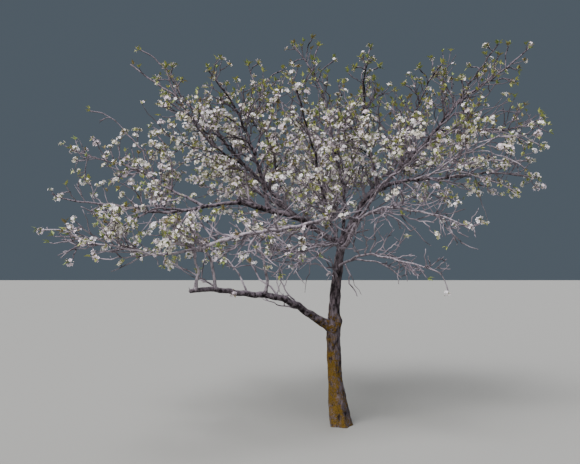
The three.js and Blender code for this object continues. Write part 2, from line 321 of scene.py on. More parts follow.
rise = np.linspace(0, 1, TRUNK_RINGS)[None, :]
turn = np.arange(TRUNK_SIDES) * 2 * np.pi / TRUNK_SIDES
height = rise[..., None] * TRUNK_HEIGHT
flare = ROOT_LOBE_DEPTH * np.exp(-height / ROOT_LOBE_HEIGHT) * np.cos(ROOT_LOBES * turn)
trunk_radius = np.interp(height, TRUNK_HEIGHTS, TRUNK_WIDTHS) / 2 * (1 + flare)
middle = trunk_at(rise)
skin = middle[:, :, None] + trunk_radius[..., None] * np.stack(
    (np.cos(turn), -np.sin(turn), 0 * turn), axis=-1)
furrowed = skin * (1, 1, FURROW_STRETCH)
relief = (0.0050 * roughness_of(furrowed, 0.020, 1) + 0.0026 * roughness_of(furrowed, 0.008, 2)
          + 0.007 * roughness_of(skin, 0.09, 3))
for swollen in SWELLINGS:
    relief = relief + swelling(skin, *swollen)
closing = np.sqrt(np.clip((TRUNK_HEIGHT + 0.001 - height) / CROWN_OF_TRUNK, 0, 1))
trunk_shape = carried_rings(middle, np.array([[1.0, 0, 0]]), (trunk_radius + relief) * closing,
                            TRUNK_SIDES, level=True)
lichened_bark = bark("lichened_cherry_bark", "#1c1518", "#72676d", trunk_cover, 3.5)
make_piece("trunk_bark", trunk_shape, lichened_bark, ["trunk"])


# The boughs: crooked limbs of cherry wood, each grown out of its parent with a swollen collar and
# tapering to its tip. Their bark is thinner and smoother than the trunk's, purple-brown, paler on top
# with painted light from above, and knobbly with the scars of old spurs.

CROOK = 0.014
COLLAR = 0.3
COLLAR_LENGTH = 2.4
KINK = 0.005
KINK_LENGTH = 0.19
TIP_RADIUS = 0.004
RING_STEP = 0.013
BOUGH_SIDES = 14

limbs = {}


def limb(name, parent, share, tip, arch, sway, base, bare=1.0, twig=0.0, end=TIP_RADIUS):
    """Leaves its parent at a share of the parent's length and runs to its tip. The line is its chord
    plus a parabola's arch upwards and sway sideways, with slow sines that make it wander and short
    ones that make it crooked."""
    at_parent = limbs[parent].at if parent in limbs else trunk_at
    index = len(limbs) + 1
    start = at_parent(np.array(share))
    chord = np.array(tip) - start
    length = np.linalg.norm(chord)
    along = chord / length
    side = unit(np.array((-along[1], along[0], 0.0)))
    lift = np.cross(along, side)

    def at(t):
        t = np.asarray(t)[..., None]
        window = 4 * t * (1 - t)
        up = arch + CROOK * length * np.sin(2 * np.pi * (1.5 * t + chance(index, 1)))
        across = sway + CROOK * length * np.sin(2 * np.pi * (1.9 * t + chance(index, 2)))
        up = up + KINK * np.sin(2 * np.pi * (t * length / KINK_LENGTH + chance(index, 8)))
        across = across + KINK * np.sin(2 * np.pi * (1.3 * t * length / KINK_LENGTH + chance(index, 9)))
        return start + t * chord + window * (up * lift + across * side)

    def radius_at(t):
        collar = COLLAR * np.exp(-t * length / (COLLAR_LENGTH * base))
        return (base + (end - base) * t) * (1 + collar)

    limbs[name] = SimpleNamespace(at=at, radius_at=radius_at, side=side, index=index, length=length,
                                  base=base, bare=bare, twig=twig)


limb("low_left", "trunk", 0.53, (-1.25, -0.95, 1.29), 0.13, -0.08, 0.040, 0.9, 0.27, end=0.009)
limb("low_left_inner", "low_left", 0.5, (-0.88, -0.46, 1.85), 0.06, 0.09, 0.015, 0.23, 0.42)
limb("low_left_outer", "low_left", 0.85, (-1.36, -1.15, 1.82), 0.14, 0.0, 0.013, 0.22, 0.41)

limb("left", "trunk", 0.985, (-0.95, -0.25, 2.05), 0.06, 0.01, 0.027, end=0.020)
limb("left_lower", "left", 0.97, (-2.39, -0.64, 2.05), -0.09, 0.05, 0.017, 0.27, 0.46)
limb("left_upper", "left_lower", 0.22, (-2.53, 0.06, 2.56), 0.04, -0.09, 0.013, 0.2, 0.45)
limb("left_rising", "left", 0.51, (-2.03, 0.25, 3.43), 0.09, 0.06, 0.017, 0.35, 0.38)
limb("left_rising_side", "left_rising", 0.3, (-1.56, -0.4, 3.21), -0.15, 0.06, 0.010, 0.22, 0.35)
limb("left_top", "left", 0.72, (-1.16, -0.6, 3.13), 0.16, -0.06, 0.019, 0.43, 0.38)
limb("left_top_side", "left_top", 0.38, (-0.87, 0.15, 3.39), -0.08, -0.09, 0.010, 0.22, 0.35)

limb("front_stem", "trunk", 0.965, (0.15, -0.17, 1.91), -0.06, -0.04, 0.021, end=0.018)
limb("front_left", "front_stem", 0.95, (-1.22, -1.15, 1.6), 0.08, 0.26, 0.016, end=0.011)
limb("front_left_end", "front_left", 0.97, (-2.02, -1.45, 1.72), -0.07, 0.12, 0.011, 0.2, 0.46)
limb("front_low", "trunk", 0.975, (-0.64, -0.9, 1.52), 0.08, 0.12, 0.014, 0.3, 0.42)
limb("front_up", "front_left", 0.3, (-0.42, -1.06, 2.85), 0.12, -0.07, 0.012, 0.22, 0.46)
limb("front_right", "front_stem", 0.93, (0.62, -1.33, 2.42), 0.13, 0.06, 0.014, 0.24, 0.49)

limb("right", "trunk", 0.995, (0.44, 0.2, 2.24), 0.09, -0.06, 0.029, end=0.024)
limb("right_flat", "right", 0.97, (1.91, 0.23, 2.32), 0.06, -0.05, 0.018, 0.29, 0.46)
limb("right_middle", "right_flat", 0.24, (1.26, -0.7, 2.56), 0.02, 0.04, 0.010, 0.22, 0.45)
limb("right_rising", "right", 0.97, (1.92, 0.35, 3.63), 0.06, -0.03, 0.020, 0.57, 0.38)
limb("right_upper", "right_rising", 0.12, (0.97, 0.05, 3.38), 0.10, 0.06, 0.013, 0.24, 0.38)
limb("right_far", "right_rising", 0.37, (1.88, 0.0, 2.84), -0.07, 0.0, 0.011, 0.2, 0.41)
limb("right_shoot", "right_rising", 0.52, (1.43, -0.15, 3.49), 0.02, 0.01, 0.009, 0.22, 0.32)
limb("centre_right", "right", 0.9, (0.2, -0.45, 3.23), 0.20, -0.12, 0.014, 0.24, 0.38)
limb("right_low", "right", 0.14, (0.95, -0.9, 1.78), 0.19, -0.12, 0.015, 0.27, 0.46)
limb("right_bottom", "trunk", 0.87, (0.76, -0.76, 1.42), 0.12, -0.14, 0.013, 0.36, 0.32)

limb("centre", "trunk", 0.98, (-0.43, 0.3, 3.63), 0.26, 0.12, 0.016, 0.26, 0.42)
limb("back", "trunk", 0.95, (-0.14, 1.88, 2.48), 0.16, 0.06, 0.021, 0.4, 0.49)
limb("back_top", "back", 0.36, (0.3, 1.24, 3.33), 0.12, 0.06, 0.012, 0.22, 0.45)
limb("back_left", "left", 0.34, (-1.38, 1.42, 2.46), 0.13, 0.12, 0.016, 0.26, 0.49)
limb("back_right", "right", 0.55, (1.29, 1.56, 2.66), 0.12, 0.08, 0.017, 0.26, 0.49)

SOLID_LIMBS = len(limbs)

# Lesser boughs that stand clear of the rest: the limb that bears them, a word of their own, at what
# per cent of its length, and how many centimetres across, back and up from there their tip lies
LESSER_BOUGHS = (
    ("left_upper", "hanging", 88, -5, 4, -22),
    ("left_upper", "lower", 52, -28, 5, -9),
    ("left_upper", "rising", 45, -25, 10, 42),
    ("left_upper", "upright", 25, -16, 10, 52),
    ("left_lower", "under", 33, -45, -25, -14),
    ("front_left_end", "tip", 94, -25, -3, 5),
    ("left_rising", "whip", 70, -40, 2, 48),
    ("left_rising_side", "up", 80, 4, 5, 12),
    ("left_rising_side", "out", 90, -9, -4, 0),
    ("left_rising_side", "end", 90, 3, -5, 10),
    ("left_top_side", "fork", 93, 6, 0, 8),
    ("left_top_side", "right", 70, 22, -5, 22),
    ("centre", "fork", 88, 5, -5, 20),
    ("centre", "upright", 80, 4, 6, 28),
    ("centre", "out", 76, 14, -4, 18),
    ("centre", "side", 90, -10, 4, -2),
    ("centre_right", "fork", 92, 6, 4, 12),
    ("centre_right", "side", 94, -8, -3, 2),
    ("centre_right", "whip", 60, 8, 12, 62),
    ("centre_right_whip", "side", 40, 14, 0, 13),
    ("right_upper", "left", 62, -12, 5, 18),
    ("right_upper", "side", 80, -8, -4, 12),
    ("right_upper", "fork", 88, 0, 5, 16),
    ("right_rising", "back", 50, -14, 5, 32),
    ("right_rising", "whip", 57, -3, -5, 18),
    ("right_rising", "inner", 67, 6, 6, 16),
    ("right_rising", "low", 68, 35, 3, 6),
    ("right_rising_low", "side", 55, 10, -2, -3),
    ("right_rising", "middle", 75, 2, -10, 18),
    ("right_rising", "flat", 81, 15, 4, 2),
    ("right_rising", "upright", 83, 1, -3, 20),
    ("right_shoot", "foot", 35, -6, 2, 4),
    ("right_shoot", "side", 60, -7, 3, 3),
    ("right_shoot", "end", 90, -5, -2, 3),
    ("front_stem", "right", 8, 22, -16, 16),
    ("right_low", "under", 28, 33, -12, -17),
    ("right_flat", "under", 35, 70, -12, -14),
    ("right_flat", "upper", 40, 42, -6, 16),
    ("right_flat", "front", 55, 34, -25, 10),
    ("left_top", "left", 55, -30, -12, 10),
    ("left_top", "low", 45, -24, -15, 2),
    ("centre_right", "low", 35, -25, -18, 12),
    ("front_low", "under", 12, -42, -16, -10),
    ("front_low", "side", 40, -26, -6, -13),
    ("front_low", "upper", 30, -20, -22, 12),
    ("low_left", "middle", 62, -30, 2, 36),
    ("low_left", "upright", 97, -3, 3, 36),
    ("left_rising", "front", 35, -10, -30, 5),
    ("left_top", "inner", 30, -22, -20, 6),
    ("centre_right", "front", 20, -30, -35, 5),
    ("centre", "front", 40, 28, -25, 10),
    ("right_flat", "end", 72, 28, -12, 10),
    ("right_middle", "out", 95, 42, 10, -6),
    ("right_middle", "under", 55, 56, 6, -13),
    ("right_middle", "upper", 40, 52, -8, 20),
    ("right_flat", "low", 20, 60, -32, -4),
    ("right_far", "under", 30, 52, -16, -14),
    ("right_bottom", "under", 45, 36, -5, -15),
    ("right_bottom", "lower", 20, 42, -10, -15),
    ("right_bottom", "hook", 96, 10, 0, -16),
    ("left_upper_rising", "tip", 95, -36, 5, 23),
    ("left_upper_rising_tip", "fork", 50, -10, 2, -2),
)
LESSER_RADIUS = 0.008
LOW_UPRIGHT_RADIUS = 0.014  # the lowest bough's upturned end
LESSER_TIP = 0.0045
LESSER_TWIG = 0.16
LESSER_ARCH = 0.12  # of its length
LESSER_BARE = 0.3
THINNER = 0.75  # a side bough is at most this share of its parent's radius
for parent, word, per_cent, *offset in LESSER_BOUGHS:
    name = parent + "_" + word
    share = per_cent / 100
    offset = np.array(offset) / 100
    thickness = min(LESSER_RADIUS, THINNER * float(limbs[parent].radius_at(share)))
    thickness = LOW_UPRIGHT_RADIUS if name == "low_left_upright" else thickness
    tip = limbs[parent].at(np.array(share)) + offset
    limb(name, parent, share, tip, LESSER_ARCH * np.linalg.norm(offset), 0.0, thickness,
         LESSER_BARE, LESSER_TWIG, LESSER_TIP)

STURDY_TIP = 1.4  # the real tips are this much as thick as the solids'
LOW_STURDY_TIP = 1.8  # and that of the lowest bough, which turns up there
FORK_SWELL = 0.5
FORK_REACH = 1.3  # in radii
LOWEST_FORK = (0.0, 0.0, 0.86)


def bough_cover(tree, place):
    """Lichen on the boughs keeps to the first arm's length of the lowest one."""
    return ranged(tree, measured(tree, "DISTANCE", place, LOWEST_FORK), 0.15, 0.85, 0.03, -0.25)


def joined(parts):
    """Several lots of points and triangles as one, each lot's numbers moved past those before it."""
    before = np.cumsum([0] + [len(points) for points, _ in parts])
    triangles = [faces + shift for (_, faces), shift in zip(parts, before)]
    return np.concatenate([points for points, _ in parts]), np.concatenate(triangles)


bough_skins = {}
for name, grown in limbs.items():
    rings = int(grown.length / RING_STEP) + 3
    t = np.linspace(0, 1, rings)[None, :]
    centres = grown.at(t)
    fork = FORK_SWELL * np.exp(-t * grown.length / (FORK_REACH * grown.base))
    sturdy = LOW_STURDY_TIP if name == "low_left" else STURDY_TIP
    radius = grown.radius_at(t) * (1 + fork) * (1 + (sturdy - 1) * t ** 3)
    around = np.arange(BOUGH_SIDES)[None, None, :]
    lumps = roughness_of(centres[:, :, None] + 0.013 * around[..., None], 0.035, 4)
    fine = chance(np.arange(rings)[None, :, None], around, grown.index) - 0.5
    radii = radius[..., None] * (1 + 0.13 * lumps + 0.06 * fine)
    bough_skins[name] = carried_rings(centres, grown.side[None], radii, BOUGH_SIDES)

# The front boughs, the lowest side boughs and the right's middle tier get pale grey bark, with painted
# light that makes them look lit from the front, and the others dark purple-brown bark, darkened
# further with painted shade
PAINTED_LIT_BOUGHS = ("front_stem", "front_left", "front_low", "front_right", "right_low", "right_bottom",
            "right_middle", "right_flat_", "right_far_", "low_left_")
BOUGH_LOTS = (
    ("dark_boughs", False, bark("dark_cherry_bark_painted_shade", "#171115", "#7a6f77", bough_cover, 1.5)),
    ("pale_boughs", True, bark("grey_cherry_bark_painted_lit", "#5f565d", "#a89ea6", bough_cover, 1.5)),
)
for piece_name, pale, skin in BOUGH_LOTS:
    mine = [name for name in limbs if name.startswith(PAINTED_LIT_BOUGHS) == pale]
    nodes = [name + "_bough" for name in mine if name + "_bough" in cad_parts]
    make_piece(piece_name, joined([bough_skins[name] for name in mine]), skin, nodes)


# The shoots: crooked side branches, and the twigs on them, that fill the crown between the boughs.
# They leave their limb at the golden angle and turn up to the light, the longest nearest its foot,
# under a thin, smooth, grey-lilac bark.

GOLDEN_ANGLE = math.radians(137.5)
SHOOT_SPACING = 0.205
SHOOT_STEPS = 3  # shoots for each one that the solids have
LOW_STEPS = 5  # on the limbs whose tips stay in the band below, which are thick with bare twigs
LOW_DOWN = (1.35, 1.88)
SHOOT_SPLAY = 54
SHOOT_SPLAY_RANGE = 16
SHOOT_LIFT = 0.36
SHOOT_TAPER = 0.6
BARE_FOOT = 0.14  # no shoot grows this near to where the limb forks off
INNER_SHOOT = 0.5  # how long one is between a limb's foot and the foot of its mass
BOUGH_SHOOT = 0.58  # how long a shoot is on a limb that has no mass of its own
SHOOT_RADIUS = 0.0095
SHOOT_TIP = 0.004
SWING = 0.055
JOG = 0.07
STRETCHES = 10
CLEAR_OF_LIMBS = 0.02
FORK = np.array((0.0, -0.1, 1.65))
EDGE = 0.06  # how far inside the solids' box a shoot's tip stays
TOP_SHORTENING = 0.5  # how much shorter the shoots are at the top of the crown
LEFT_SHORTENING = 0.35  # and at its left, which is drawn out
TOP_THINNING = 0.4  # the share of the shoots that the top of the crown goes without
INNER_THINNING = 0.45  # and that the crowded old wood round the fork does
LOW_THINNING = 0.8  # and that the lowest wood does, which is nearly clean
LEFT_EAVE = (-0.8, 1.45)  # to the left of the first, the crown ends above the second
SHOOT_TOP = (2.85, 0.3)  # where the crown's top starts, and over what height it takes full effect
SHOOT_LEFT = (1.3, 0.7)  # the same to the left
CROWDED = (0.75, 1.7)  # the old wood is this near to the fork, and above this height
LOWEST_WOOD = 1.33  # the lowest wood, which is thinned most, starts below this height
LOW_SHOOTS = (1.35, -0.05)  # shoots that start below this height head down no more than this
NEARER = -0.2  # only what ends in front of this depth hides a bough
TESTED = (0.35, 0.6, 0.8, 1.0)  # the shares of a shoot that have to clear the limbs

room = np.array([list(corner) for corner in cad_box])
limb_lines = np.stack([grown.at(np.linspace(0, 1, STRETCHES + 1)) for grown in limbs.values()])


def distance_to(lines, points):
    """From each point to the nearest line: the nearest place on each straight stretch of it, kept
    between the stretch's ends."""
    start = lines[:, :-1].reshape(-1, lines.shape[-1])
    step = (lines[:, 1:] - lines[:, :-1]).reshape(start.shape)
    offset = points[..., None, :] - start
    share = np.clip(dot(offset, step) / dot(step, step), 0, 1)
    return np.linalg.norm(offset - share * step, axis=-1).min(axis=-1)


VIEWPOINT = np.array((-0.471, -6.0, 1.6))  # where the photo was taken from
STANDING_CLEAR = {"left": 1.0, "left_lower": 0.5, "left_top": 0.7, "left_rising": 0.45,
                  "front_stem": 1.0, "right": 1.0, "right_flat": 0.9, "right_middle": 1.0,
                  "right_middle_under": 1.0, "right_rising": 0.55}  # boughs, and how much of each
CLEAR_PLACES = 12
CLEAR_WIDTH = 0.0085  # as a share of the distance, to either side of the bough's middle
CLEAR_THINNING = 0.75  # the share of the shoots and twigs before them that are left out

clear_lines = np.stack([limbs[name].at(np.linspace(0, share, CLEAR_PLACES))
                        for name, share in STANDING_CLEAR.items()])


def ramp(values, start, width):
    """0 up to the start, then a straight rise to 1 over the width."""
    return np.clip((values - start) / width, 0, 1)


def seen(points):
    """How far across and up each point lies in the photo's view, as shares of its distance."""
    return (points[..., ::2] - VIEWPOINT[::2]) / (points[..., 1:2] - VIEWPOINT[1])


def crosses(points):
    """Whether each point is seen right before or behind a bough that stands clear."""
    return distance_to(seen(clear_lines), seen(points)) < CLEAR_WIDTH


def heading_from(tangent, normal, binormal, angle, splay, lift):
    """A direction that leaves the tangent by the splay, at that angle round it, then turns up."""
    return unit(turned(tangent, turned(normal, binormal, angle), splay) + lift * UP)


def side_of(heading):
    """A level vector across each heading."""
    return unit(np.cross(UP + 0.01, heading))


def shoot_points(origin, heading, length, rings, key, sag):
    """A shoot: straight along its heading, bowed down by the sag, swung by a slow sine, and jogged a
    little by chance at every bud."""
    t = np.linspace(0, 1, rings)[None, :, None]
    size = length[:, None, None]
    side = side_of(heading)[:, None]
    window = 4 * t * (1 - t)
    wander = np.sin(2 * np.pi * (1.3 * t + chance(key, 3)[:, None, None]))
    bud = np.arange(rings)[None, :]
    jog = (chance(key[:, None], bud, 5) - 0.5)[..., None]
    lift = (chance(key[:, None], bud, 6) - 0.5)[..., None]
    bend = (SWING * wander + JOG * jog) * side + (JOG * lift - sag) * UP
    return origin[:, None] + size * (t * heading[:, None] + window * bend)


def points_along(lines, shares):
    """Places, tangents and cross axes at shares of each line, read between its rings."""
    place = shares * (lines.shape[1] - 1)
    low = np.clip(place.astype(int), 0, lines.shape[1] - 2)
    row = np.arange(len(lines))[:, None]
    here = lines[row, low]
    after = lines[row, low + 1]
    tangent = unit(after - here)
    normal = side_of(tangent)
    return here + (place - low)[..., None] * (after - here), tangent, normal, np.cross(normal, tangent)


def taper(base, end, rings):
    """Radii that fall in a straight line from each shoot's base to its end."""
    t = np.linspace(0, 1, rings)[None, :]
    return (base[:, None] + (end - base[:, None]) * t)[..., None]


shoots = []
for grown in limbs.values():
    index = grown.index
    foot = grown.bare if grown.twig else 0.0
    count = max(2, round(grown.length * (1 - foot) / SHOOT_SPACING))
    first = math.ceil(-count * foot / (1 - foot))
    steps = LOW_STEPS if LOW_DOWN[0] < grown.at(np.array(1.0))[2] < LOW_DOWN[1] else SHOOT_STEPS
    number = np.arange(first, count, 1 / steps)
    share = (number + 0.75) / count
    t = foot + (1 - foot) * share
    kept = (t * grown.length > BARE_FOOT) & (t < 1)
    number, share, t = number[kept], share[kept], t[kept]
    step = 0.002
    tangent = unit(grown.at(t + step) - grown.at(t - step))
    normal, binormal = axes_across(grown.side, tangent)
    angle = number * GOLDEN_ANGLE + 2 * np.pi * chance(index, 3)
    splay = np.radians(SHOOT_SPLAY + SHOOT_SPLAY_RANGE * (chance(index, number, 4) - 0.5))
    heading = heading_from(tangent, normal, binormal, angle, splay, SHOOT_LIFT)
    tapered = (grown.twig or BOUGH_SHOOT) * (1 - SHOOT_TAPER * share)
    origin = grown.at(t)
    high = ramp(origin[:, 2], *SHOOT_TOP)
    far_left = ramp(-origin[:, 0], *SHOOT_LEFT)
    length = np.where(share < 0, INNER_SHOOT, tapered) * (0.65 + 0.8 * chance(index, number, 5))
    length = length * (1 - TOP_SHORTENING * high) * (1 - LEFT_SHORTENING * far_left)
    tested = heading[:, None] * length[:, None, None] * np.array(TESTED)[None, :, None]
    away = distance_to(limb_lines, origin[:, None] + tested)
    tip = origin + heading * length[:, None]
    within = np.all((tip > room[0] + EDGE) & (tip < room[1] - EDGE), axis=-1)
    within = within & ((origin[:, 2] > LOW_SHOOTS[0]) | (heading[:, 2] > LOW_SHOOTS[1]))
    sparse = TOP_THINNING * high
    near_fork = np.linalg.norm(origin - FORK, axis=-1) < CROWDED[0]
    crowded = INNER_THINNING * (near_fork & (origin[:, 2] > CROWDED[1]))
    lowest = LOW_THINNING * (origin[:, 2] < LOWEST_WOOD)
    lucky = chance(index, number, 6) > np.maximum(np.maximum(sparse, crowded), lowest)
    hangs = (tip[:, 0] < LEFT_EAVE[0]) & (tip[:, 2] < LEFT_EAVE[1])
    hides = (crosses(tip) | crosses(origin + heading * 0.5 * length[:, None])) & (tip[:, 1] < NEARER)
    hides = hides & (chance(index, number, 7) < CLEAR_THINNING)
    free = np.all(away > CLEAR_OF_LIMBS, axis=1) & within & lucky & ~hangs & ~hides
    shoots.append((origin[free], heading[free], length[free],
                   np.minimum(SHOOT_RADIUS, 0.7 * grown.radius_at(t[free])),
                   index * 100 + number[free] * steps))

# Three bare shoots straight from the trunk below the fork: their feet, their tips and their keys
TRUNK_SHOOTS = np.array((((0.03, -0.04, 1.50), (0.13, -0.22, 1.20)),
                         ((-0.03, -0.03, 1.36), (-0.12, -0.12, 1.56)),
                         ((-0.02, -0.03, 1.44), (-0.26, -0.30, 1.50))))
TRUNK_SHOOT_KEYS = np.array((9001.0, 9002.0, 9003.0))
from_trunk = TRUNK_SHOOTS[:, 1] - TRUNK_SHOOTS[:, 0]
shoots.append((TRUNK_SHOOTS[:, 0], unit(from_trunk), np.linalg.norm(from_trunk, axis=1),
               np.full(3, SHOOT_RADIUS), TRUNK_SHOOT_KEYS))
shoot_origin, shoot_heading, shoot_length, shoot_radius, shoot_key = (
    np.concatenate(part) for part in zip(*shoots))
SHOOT_RINGS = 10
SHOOT_SAG = 0.04
shoot_lines = shoot_points(shoot_origin, shoot_heading, shoot_length, SHOOT_RINGS, shoot_key,
                           SHOOT_SAG)

TWIG_SPACING = 0.08
TOP_TWIG_THINNING = 0.45
MOST_TWIGS = 8
TWIG_RADIUS = 0.0054
TWIG_TIP = 0.0028
TWIG_RINGS = 6
TWIG_SAG = 0.03
TWIG_SPLAY = 42
TWIG_SPLAY_RANGE = 26
TWIG_LIFT = 0.28
TWIG_TOP = (2.75, 0.4)
LOW_TWIGS = (1.4, -0.1)  # twigs that start below this height head down no more than this

slots = np.arange(MOST_TWIGS)[None, :]
key = shoot_key[:, None]
twig_count = np.floor(shoot_length / TWIG_SPACING)[:, None]
shares = (slots + 0.55 + 0.3 * chance(key, slots, 11)) / np.maximum(twig_count, 1)
place, tangent, normal, binormal = points_along(shoot_lines, np.minimum(shares, 1))
sparse = TOP_TWIG_THINNING * ramp(place[..., 2], *TWIG_TOP)
grows = (slots < twig_count) & (chance(key, slots, 15) > sparse)
angle = slots * GOLDEN_ANGLE + 2 * np.pi * chance(key, 12)
splay = np.radians(TWIG_SPLAY + TWIG_SPLAY_RANGE * chance(key, slots, 13))
lift = TWIG_LIFT * np.clip((place[..., 2:] - 1.3) / 0.6, 0.1, 1)
heading = heading_from(tangent, normal, binormal, angle, splay, lift)
length = shoot_length[:, None] * (0.72 - 0.42 * shares) * (0.65 + 0.7 * chance(key, slots, 14))
tip = place + heading * length[..., None]
within = np.all((tip > room[0] + EDGE / 2) & (tip < room[1] - EDGE / 2), axis=-1)
hangs = (tip[..., 0] < LEFT_EAVE[0]) & (tip[..., 2] < LEFT_EAVE[1])
hides = crosses(tip) & (tip[..., 1] < NEARER) & (chance(key, slots, 16) < CLEAR_THINNING)
droops = (place[..., 2] <= LOW_TWIGS[0]) & (heading[..., 2] <= LOW_TWIGS[1])
grows = grows & within & ~hangs & ~hides & ~droops
twig_heading = heading[grows]
twig_length = length[grows]
twig_key = (key * 5 + slots)[grows]
twig_lines = shoot_points(place[grows], twig_heading, twig_length, TWIG_RINGS, twig_key, TWIG_SAG)

shoot_skin = carried_rings(shoot_lines, side_of(shoot_heading),
                           taper(shoot_radius, SHOOT_TIP, SHOOT_RINGS), 6)
twig_skin = carried_rings(twig_lines, side_of(twig_heading),
                          taper(np.array([TWIG_RADIUS]), TWIG_TIP, TWIG_RINGS), 4)


def young_bark(name, low_down, high_up, banded):
    """Smooth young cherry bark: a thin skin with a faint satin gloss, darker in bands, grey-brown at
    the top of the crown and pale grey-lilac low down. The darker tones up in the crown and in the bands
    are partly painted shade."""
    material, tree, shader = new_material(name)
    place = place_in(tree)
    height = add_node(tree, "SeparateXYZ", {0: place}).outputs["Z"]
    clean = blend(tree, ranged(tree, height, 1.9, 2.9), low_down, high_up)
    tone = ranged(tree, noise(tree, place, 0.1, 3), 0.35, 0.65)
    pores = noise(tree, place, 0.004, 3)
    feed(tree, shader, {"Base Color": blend(tree, tone, banded, clean), "Roughness": 0.7,
                        "Specular IOR Level": 0.35, "Normal": bump(tree, pores, 0.4, 0.001)})
    return material


# the high-up and banded tones are darkened with painted shade, for the shade inside the crown
satin_bark = young_bark("young_cherry_bark", "#a0959e", "#6a6067", "#4a4047")
make_piece("twigs", joined([shoot_skin, twig_skin]), satin_bark)


# The spurs: knuckles one to three centimetres long on shoots, twigs and the boughs' outer parts. Each
# ends in a bud, which has opened into an umbel of flowers with a tuft of leaves, or into leaves alone,
# or is still asleep.

SPUR_SPACING = 0.095
SPUR_RADIUS = 0.0034
SPUR_TIP = 0.0026
ASLEEP_SHARE = 0.2
SIDE_SPUR = (62, 0.5)  # how far a spur splays, in degrees, and how much it turns up
TIP_SPUR = (10, 0.3)
BOUGH_SPUR = (66, 0.5)
BOUGH_TIP_SPUR = (32, 0.3)
BOUGH_TIP_SHARES = np.array(((1.0, 0.985, 0.965),))
SPURRED = 0.35  # boughs bear spurs beyond this share of their length

spurs = []


def add_spurs(lines, shares, keys, splay_degrees, lift, shown, on_side):
    """Spurs at shares of each line: they stand off it at the golden angle and turn up to the light."""
    place, tangent, normal, binormal = points_along(lines, np.minimum(shares, 1))
    slots = np.arange(shares.shape[1])[None, :]
    angle = slots * GOLDEN_ANGLE + 2 * np.pi * chance(keys, 21)[:, None]
    splay = np.radians(splay_degrees) + 0 * angle
    heading = heading_from(tangent, normal, binormal, angle, splay, lift)
    spurs.append((place[shown], heading[shown], (keys[:, None] * 13 + slots)[shown],
                  np.full(shown.sum(), on_side)))


def spurs_beside(lines, lengths, keys, most):
    """Spurs along each line, one to each spacing of its length, and one at its tip."""
    slots = np.arange(most)[None, :]
    many = np.floor(lengths / SPUR_SPACING)[:, None]
    shares = (slots + 0.4 + 0.4 * chance(keys[:, None], slots, 22)) / np.maximum(many, 1)
    add_spurs(lines, shares, keys, *SIDE_SPUR, slots < many, True)
    tips = np.ones((len(lines), 1))
    add_spurs(lines, tips, keys + 0.5, *TIP_SPUR, tips > 0, False)


spurs_beside(shoot_lines, shoot_length, shoot_key, 6)
spurs_beside(twig_lines, twig_length, twig_key + 4000, 3)
for grown in limbs.values():
    line = grown.at(np.linspace(SPURRED, 1, 40))[None]
    many = int(grown.length * (1 - SPURRED) / SPUR_SPACING)
    shares = np.linspace(0.02, 1.0, many)[None, :]
    add_spurs(line, shares, np.array([grown.index * 31.0]), *BOUGH_SPUR, shares > 0, True)
    add_spurs(line, BOUGH_TIP_SHARES, np.array([grown.index * 31.5]), *BOUGH_TIP_SPUR,
              BOUGH_TIP_SHARES > 0, False)
spur_place, spur_heading, spur_key, on_side = (np.concatenate(part) for part in zip(*spurs))

spur_length = 0.012 + 0.022 * chance(spur_key, 31)
spur_lines = shoot_points(spur_place, spur_heading, spur_length, 2, spur_key, 0)

# The old wood to the right of the fork is bare. The lowest twigs are shaded and nearly bare, to the
# right up to head height. The far left and the left's middle tier flower less, and the top shoots,
# which start lower at the right, bear tufts of buds and leaves at their tips and little else. Ten
# boughs stand clear, with hardly a flower before them.
OLD_WOOD = (0.28, -0.1, 1.55)
OLD_WOOD_SHAPE = (1, 0.6, 1)  # it reaches further to the front and the back than to the sides
# Spots seen from the front: across, up, reach, and how much more, or less, they flower
SPOTS = ((-1.35, 2.4, 0.5, 0.6), (0.2, 2.35, 0.22, 0.6), (-1.65, 1.6, 0.22, 0.8),
         (1.25, 2.42, 0.28, 0.9), (-0.78, 1.75, 0.4, -0.7), (-0.15, 2.6, 0.42, -0.5),
         (-1.95, 1.98, 0.3, -0.45), (0.6, 2.7, 0.2, -0.3), (1.75, 2.85, 0.28, -0.6))
INNER_STRETCHES = 6  # the inner part of each limb, close to which little flowers
NEAR_LIMB = 0.12
CLEAR_FLOWERING = 0.08  # how much still flowers before a bough that stands clear
spur_end = spur_lines[:, -1]
spur_x = spur_end[:, 0]
spur_height = spur_end[:, 2]
shaded = 1.15 + 0.6 * ramp(spur_x, -0.9, 1.2)
from_old = np.linalg.norm((spur_end - OLD_WOOD) * OLD_WOOD_SHAPE, axis=-1)
far_left = ramp(-spur_x, 1.5, 0.5)
top = ramp(spur_height - 2.72 + 0.36 * ramp(spur_x, 0.2, 0.6), 0, 0.35)
lit = np.clip((from_old - 0.42) / 0.7, 0.06, 1) * np.clip((spur_height - shaded) / 0.75, 0.12, 1)
left_tier = (ramp(-spur_x, 0.3, 0.3) * ramp(2.35 - spur_height, 0, 0.3)
             * ramp(spur_height, 1.75, 0.25))
lit = lit * (1 - far_left * np.where(on_side, 0.65, 0.4)) * (1 - 0.3 * left_tier)
for across, up, reach, gain in SPOTS:
    away = np.hypot(spur_x - across, spur_height - up)
    lit = lit * (1 + gain * np.exp(-(away / reach) ** 2))
from_limbs = distance_to(limb_lines[:SOLID_LIMBS, :INNER_STRETCHES + 1], spur_end)
lit = lit * np.where(on_side, np.clip(from_limbs / NEAR_LIMB, 0.2, 1), 1)
lit = lit * np.where(crosses(spur_end), CLEAR_FLOWERING, 1)
flowering = lit * np.where(on_side, 0.74 - 0.62 * top, 0.8 - 0.44 * top)
leafing = lit * np.where(on_side, 0.16 - 0.04 * top, 0.34 + 0.26 * top)
drawn = chance(spur_key, 45)
in_flower = drawn < flowering
in_leaf = drawn < flowering + leafing
